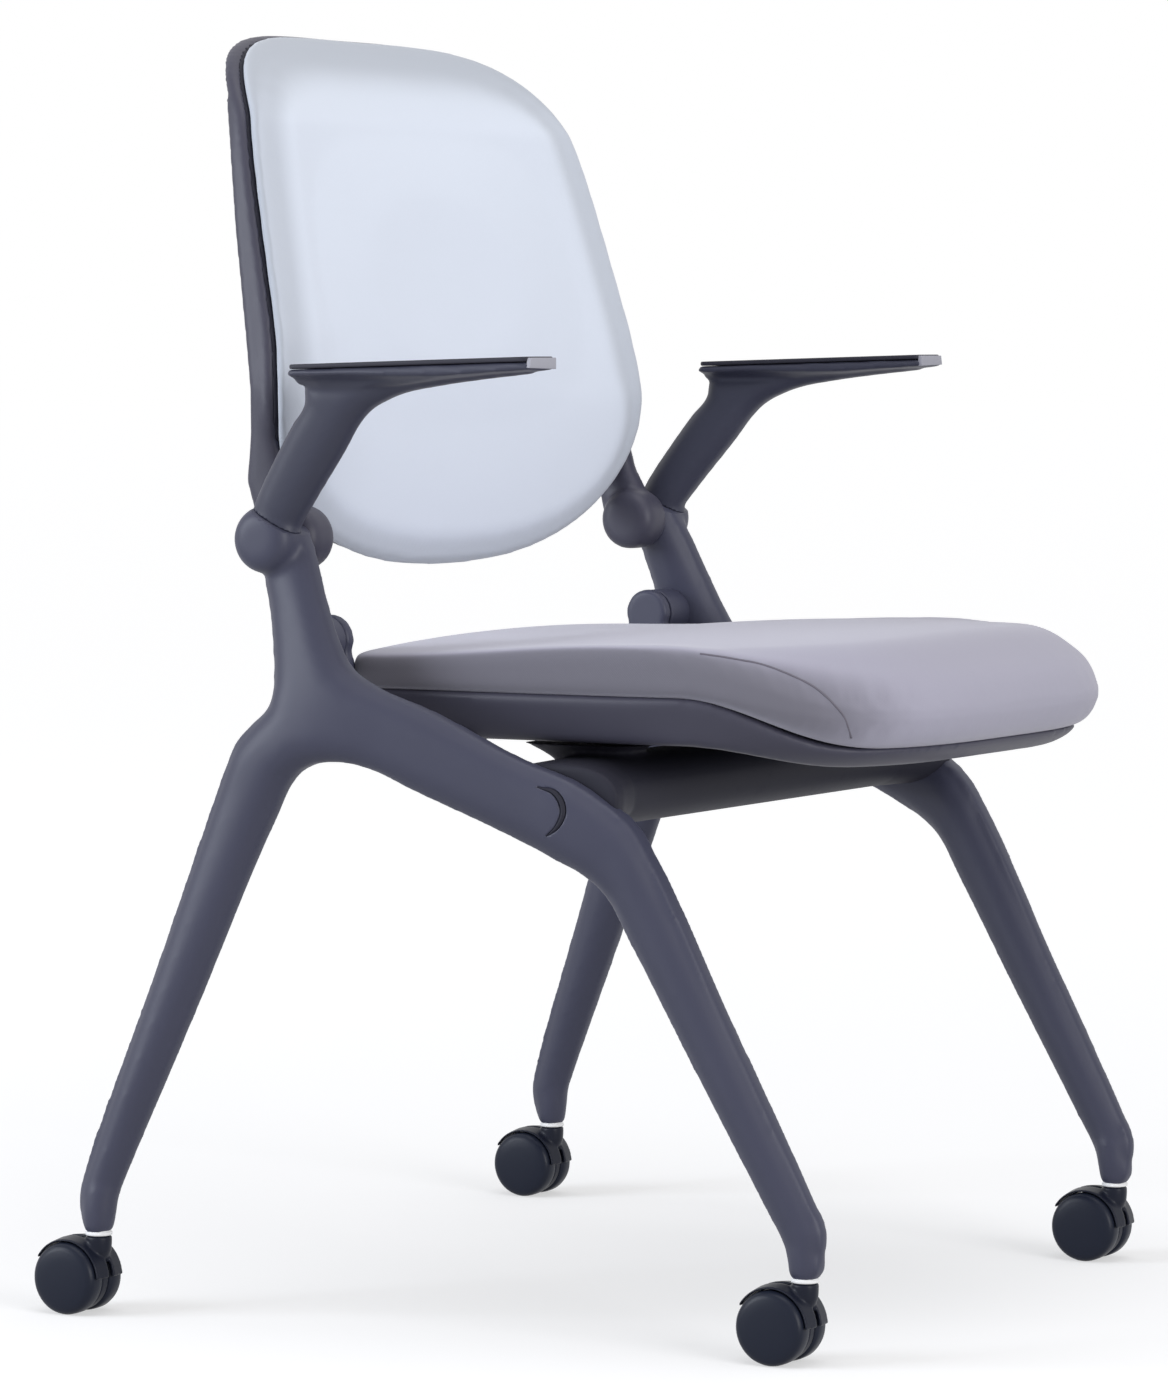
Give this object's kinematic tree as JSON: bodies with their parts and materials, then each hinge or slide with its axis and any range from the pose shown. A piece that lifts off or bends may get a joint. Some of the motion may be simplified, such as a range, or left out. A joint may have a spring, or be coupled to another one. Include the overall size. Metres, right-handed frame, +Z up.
{
  "type": "training chair",
  "caption": "Nesting training chair on casters with a flip-up upholstered seat, a sprung tilting padded back, fixed cantilever armrests and splayed oval legs joined by a crossbeam.",
  "frame": {"origin": "on the floor, in the middle of the chair's length and width", "axes": "+Z up, +X towards the sitter's left, the sitter faces -Y"},
  "size_m": [0.662, 0.601, 0.89],
  "materials": {
    "frame_plastic": "moulded, fine satin grain",
    "arm_plastic": "moulded, satin",
    "arm_pad_plastic": "soft matt",
    "tip_plastic": "pale matt inlay",
    "back_fabric": "close woven, matt",
    "seat_fabric": "close woven, matt",
    "shell_plastic": "moulded, fine satin grain",
    "back_plastic": "moulded, fine satin grain",
    "board_wood": "plain moulded plywood",
    "steel": "zinc plated",
    "caster_plastic": "semi gloss",
    "wheel_plastic": "semi gloss",
    "socket_nylon": "white nylon",
    "bush_nylon": "nylon",
    "buffer_rubber": "matt"
  },
  "bodies": {
    "frame": {"left_rear_frame": "frame_plastic", "left_front_leg": "frame_plastic", "left_hub_shaft": "steel", "left_hub_cap": "frame_plastic", "left_seat_pin": "steel", "left_arm": "arm_plastic", "left_arm_pad": "arm_pad_plastic", "left_arm_tip": "tip_plastic", "right_rear_frame": "frame_plastic", "right_front_leg": "frame_plastic", "right_hub_shaft": "steel", "right_hub_cap": "frame_plastic", "right_seat_pin": "steel", "right_arm": "arm_plastic", "right_arm_pad": "arm_pad_plastic", "right_arm_tip": "tip_plastic", "crossbeam": "frame_plastic", "seat_rests": "frame_plastic", "seat_rest_buffers": "buffer_rubber", "frame_bolts": "steel", "arm_screws": "steel", "caster_sockets": "socket_nylon"},
    "seat": {"seat_shell": "shell_plastic", "seat_board": "board_wood", "seat_cushion": "seat_fabric", "left_seat_hinge": "steel", "right_seat_hinge": "steel", "left_seat_bush": "bush_nylon", "right_seat_bush": "bush_nylon", "seat_screws": "steel"},
    "back": {"back_frame": "back_plastic", "back_board": "board_wood", "back_pad": "back_fabric", "back_screws": "steel", "left_tilt_spring": "steel", "right_tilt_spring": "steel"},
    "front_left_caster": {"front_left_caster_hood": "caster_plastic", "front_left_caster_stem": "steel", "front_left_caster_axle": "steel"},
    "front_left_wheel_left": {"front_left_wheel_left": "wheel_plastic"},
    "front_left_wheel_right": {"front_left_wheel_right": "wheel_plastic"},
    "front_right_caster": {"front_right_caster_hood": "caster_plastic", "front_right_caster_stem": "steel", "front_right_caster_axle": "steel"},
    "front_right_wheel_left": {"front_right_wheel_left": "wheel_plastic"},
    "front_right_wheel_right": {"front_right_wheel_right": "wheel_plastic"},
    "rear_left_caster": {"rear_left_caster_hood": "caster_plastic", "rear_left_caster_stem": "steel", "rear_left_caster_axle": "steel"},
    "rear_left_wheel_left": {"rear_left_wheel_left": "wheel_plastic"},
    "rear_left_wheel_right": {"rear_left_wheel_right": "wheel_plastic"},
    "rear_right_caster": {"rear_right_caster_hood": "caster_plastic", "rear_right_caster_stem": "steel", "rear_right_caster_axle": "steel"},
    "rear_right_wheel_left": {"rear_right_wheel_left": "wheel_plastic"},
    "rear_right_wheel_right": {"rear_right_wheel_right": "wheel_plastic"}
  },
  "joints": [
    {"name": "seat_flip", "type": "hinge", "parent": "frame", "child": "seat", "pos_m": [0, 0.122, 0.466], "axis": [-1, 0, 0], "range_deg": [0, 80]},
    {"name": "back_tilt", "type": "hinge", "parent": "frame", "child": "back", "pos_m": [0, 0.1408, 0.5362], "axis": [-1, 0, 0], "range_deg": [0, 12], "stiffness_Nm_per_rad": 60, "springref_deg": -14.32},
    {"name": "front_left_swivel", "type": "hinge", "parent": "frame", "child": "front_left_caster", "pos_m": [0.244, -0.2573, 0.057], "axis": [0, 0, 1], "continuous": true},
    {"name": "front_left_wheel_left_roll", "type": "hinge", "parent": "front_left_caster", "child": "front_left_wheel_left", "pos_m": [0.244, -0.2393, 0.025], "axis": [1, 0, 0], "continuous": true},
    {"name": "front_left_wheel_right_roll", "type": "hinge", "parent": "front_left_caster", "child": "front_left_wheel_right", "pos_m": [0.244, -0.2393, 0.025], "axis": [1, 0, 0], "continuous": true},
    {"name": "front_right_swivel", "type": "hinge", "parent": "frame", "child": "front_right_caster", "pos_m": [-0.244, -0.2573, 0.057], "axis": [0, 0, 1], "continuous": true},
    {"name": "front_right_wheel_left_roll", "type": "hinge", "parent": "front_right_caster", "child": "front_right_wheel_left", "pos_m": [-0.244, -0.2393, 0.025], "axis": [1, 0, 0], "continuous": true},
    {"name": "front_right_wheel_right_roll", "type": "hinge", "parent": "front_right_caster", "child": "front_right_wheel_right", "pos_m": [-0.244, -0.2393, 0.025], "axis": [1, 0, 0], "continuous": true},
    {"name": "rear_left_swivel", "type": "hinge", "parent": "frame", "child": "rear_left_caster", "pos_m": [0.3115, 0.2573, 0.057], "axis": [0, 0, 1], "continuous": true},
    {"name": "rear_left_wheel_left_roll", "type": "hinge", "parent": "rear_left_caster", "child": "rear_left_wheel_left", "pos_m": [0.3115, 0.2753, 0.025], "axis": [1, 0, 0], "continuous": true},
    {"name": "rear_left_wheel_right_roll", "type": "hinge", "parent": "rear_left_caster", "child": "rear_left_wheel_right", "pos_m": [0.3115, 0.2753, 0.025], "axis": [1, 0, 0], "continuous": true},
    {"name": "rear_right_swivel", "type": "hinge", "parent": "frame", "child": "rear_right_caster", "pos_m": [-0.3115, 0.2573, 0.057], "axis": [0, 0, 1], "continuous": true},
    {"name": "rear_right_wheel_left_roll", "type": "hinge", "parent": "rear_right_caster", "child": "rear_right_wheel_left", "pos_m": [-0.3115, 0.2753, 0.025], "axis": [1, 0, 0], "continuous": true},
    {"name": "rear_right_wheel_right_roll", "type": "hinge", "parent": "rear_right_caster", "child": "rear_right_wheel_right", "pos_m": [-0.3115, 0.2753, 0.025], "axis": [1, 0, 0], "continuous": true}
  ]
}
